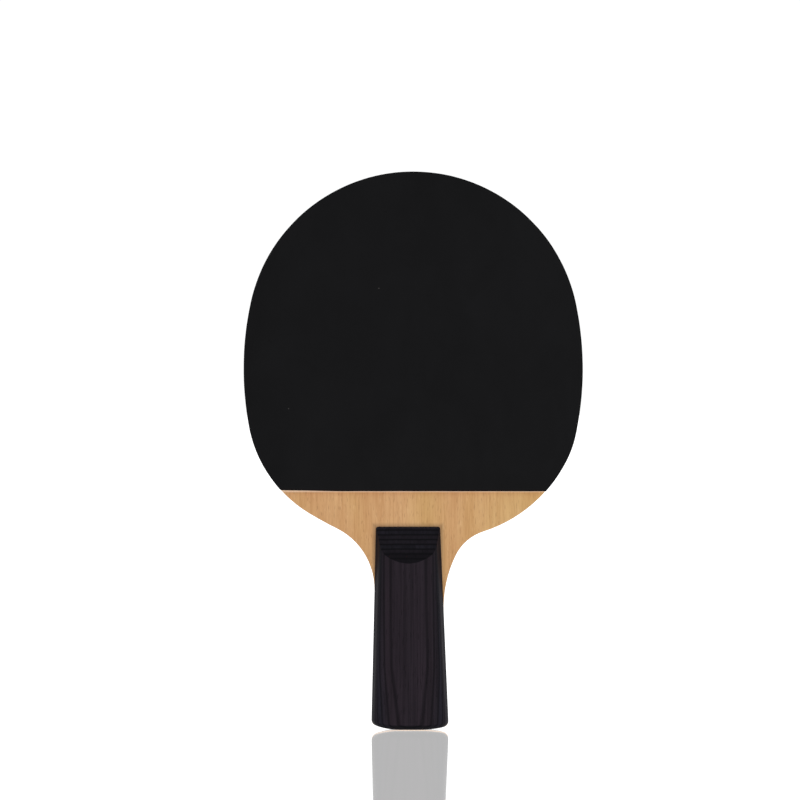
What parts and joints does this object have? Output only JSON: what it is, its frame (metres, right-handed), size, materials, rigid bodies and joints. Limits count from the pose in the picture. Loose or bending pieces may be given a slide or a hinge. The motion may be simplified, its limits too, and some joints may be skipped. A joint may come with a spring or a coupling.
{
  "type": "table tennis paddle",
  "caption": "Short-handled penhold table tennis paddle: rounded wooden head with a rubber sheet on each face and a dark laminated handle scooped at its upper end.",
  "frame": {"origin": "the middle of the flat at the butt end of the handle, half way through the thickness", "axes": "+Z along the handle to the tip of the head, +X to the right of a viewer who faces the front (black) rubber, +Y from the front rubber towards the back rubber"},
  "size_m": [0.1502, 0.0212, 0.2472],
  "materials": {
    "face_veneer": "satin, sealed",
    "cross_ply": "satin, sealed",
    "core_wood": "satin, sealed",
    "sponge": "matt, fine closed cells",
    "black_rubber": "matt, slightly tacky",
    "red_rubber": "matt, slightly tacky",
    "dyed_veneer": "satin, sealed"
  },
  "bodies": {
    "root": {"blade_face_ply_front": "face_veneer", "blade_cross_ply_front": "cross_ply", "blade_core_ply": "core_wood", "blade_cross_ply_back": "cross_ply", "blade_face_ply_back": "face_veneer", "sponge_front": "sponge", "topsheet_front": "black_rubber", "sponge_back": "sponge", "topsheet_back": "red_rubber", "handle_veneer_front_1": "dyed_veneer", "handle_veneer_front_2": "dyed_veneer", "handle_veneer_front_3": "dyed_veneer", "handle_veneer_front_4": "dyed_veneer", "handle_veneer_front_5": "dyed_veneer", "handle_veneer_front_6": "dyed_veneer", "handle_veneer_front_7": "dyed_veneer", "handle_veneer_front_8": "dyed_veneer", "handle_veneer_back_1": "dyed_veneer", "handle_veneer_back_2": "dyed_veneer", "handle_veneer_back_3": "dyed_veneer", "handle_veneer_back_4": "dyed_veneer", "handle_veneer_back_5": "dyed_veneer", "handle_veneer_back_6": "dyed_veneer", "handle_veneer_back_7": "dyed_veneer", "handle_veneer_back_8": "dyed_veneer"}
  },
  "joints": []
}
